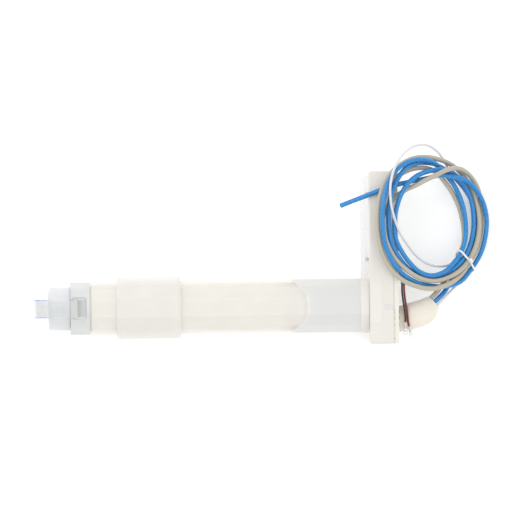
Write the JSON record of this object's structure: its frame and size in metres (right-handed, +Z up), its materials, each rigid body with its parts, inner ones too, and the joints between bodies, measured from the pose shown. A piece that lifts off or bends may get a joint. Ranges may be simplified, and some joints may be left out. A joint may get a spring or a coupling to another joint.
{
  "type": "salt chlorine generator",
  "caption": "Twelve-sided translucent tube with a dome-ended pull-out cartridge, an oblong power head across one end and a tied coil of cords.",
  "frame": {"origin": "under the middle of the object's box, cords apart, on the surface that it rests on", "axes": "+X along the tube from the pull strap to the power head, +Y along the head away from the boot, +Z up"},
  "size_m": [0.5926, 0.2593, 0.1108],
  "materials": {
    "tube_plastic": "milky translucent moulding",
    "sleeve_plastic": "milky translucent moulding",
    "cap_plastic": "cool white translucent moulding",
    "plug_plastic": "bluish translucent moulding",
    "vessel_plastic": "clear moulding with an amber edge at its dome",
    "strap_plastic": "clear blue flexible band",
    "salt": "packed cream-white crystals",
    "shell_plastic": "fine satin moulding",
    "label_film": "blank printed film",
    "white_plastic": "satin moulding",
    "clear_plastic": "clear moulding",
    "lens_plastic": "frosted lens",
    "strip_plastic": "black moulding",
    "seal_rubber": "black rubber",
    "seal_silicone": "pale silicone",
    "boot_rubber": "smooth beige rubber",
    "stainless_steel": "bright stainless",
    "coated_plate": "dark coated titanium",
    "brass": "plain brass",
    "terminal_metal": "tinned crimp in a clear sleeve",
    "board_laminate": "green laminate",
    "transformer_metal": "varnished core",
    "capacitor_can": "sleeved can",
    "blue_tube": "smooth blue tubing",
    "grey_jacket": "warm grey cable jacket",
    "white_wire": "pale thin wire",
    "black_wire": "black insulation",
    "red_wire": "dark red insulation"
  },
  "bodies": {
    "base": {"main_tube": "tube_plastic", "mounting_sleeve": "sleeve_plastic", "tube_band": "label_film", "head_shell": "shell_plastic", "socket_o_ring": "seal_rubber", "head_cover": "shell_plastic", "cover_gasket": "seal_silicone", "cover_screw_1": "stainless_steel", "cover_screw_2": "stainless_steel", "cover_screw_3": "stainless_steel", "cover_screw_4": "stainless_steel", "cover_screw_5": "stainless_steel", "cover_screw_6": "stainless_steel", "indicator_lens": "lens_plastic", "label_plate": "label_film", "wall_flange": "clear_plastic", "flange_screw_1": "stainless_steel", "flange_screw_2": "stainless_steel", "electrode_plate_1": "coated_plate", "electrode_plate_2": "coated_plate", "electrode_plate_3": "coated_plate", "electrode_plate_4": "coated_plate", "electrode_plate_5": "coated_plate", "electrode_comb_1": "white_plastic", "electrode_comb_2": "white_plastic", "terminal_post_1": "stainless_steel", "terminal_post_2": "stainless_steel", "terminal_nut_1": "brass", "terminal_nut_2": "brass", "electrode_lead_1": "red_wire", "electrode_lead_2": "black_wire", "level_probe": "stainless_steel", "tube_fitting": "white_plastic", "circuit_board": "board_laminate", "power_transformer": "transformer_metal", "smoothing_capacitor": "capacitor_can", "terminal_strip": "strip_plastic", "cable_boot": "boot_rubber", "cable_tie": "white_plastic", "blue_tube_run": "blue_tube", "blue_tube_lead": "blue_tube", "blue_tube_coil": "blue_tube", "blue_tube_tail": "blue_tube", "grey_cable_run": "grey_jacket", "grey_cable_lead": "grey_jacket", "grey_cable_coil": "grey_jacket", "white_wire_run": "white_wire", "white_wire_lead": "white_wire", "white_wire_coil": "white_wire", "black_lead": "black_wire", "red_lead": "red_wire", "crimp_terminal_1": "terminal_metal", "crimp_terminal_2": "terminal_metal"},
    "cartridge": {"end_cap": "cap_plastic", "cap_gasket": "seal_silicone", "cartridge_plug": "plug_plastic", "plug_o_ring": "seal_rubber", "domed_vessel": "vessel_plastic", "salt_charge": "salt"},
    "strap": {"pull_strap": "strap_plastic"}
  },
  "joints": [
    {"name": "cartridge_slide", "type": "slide", "parent": "base", "child": "cartridge", "axis": [-1, 0, 0], "range_m": [0, 0.29]},
    {"name": "strap_slide", "type": "slide", "parent": "cartridge", "child": "strap", "axis": [1, 0, 0], "range_m": [0, 0.011]}
  ]
}
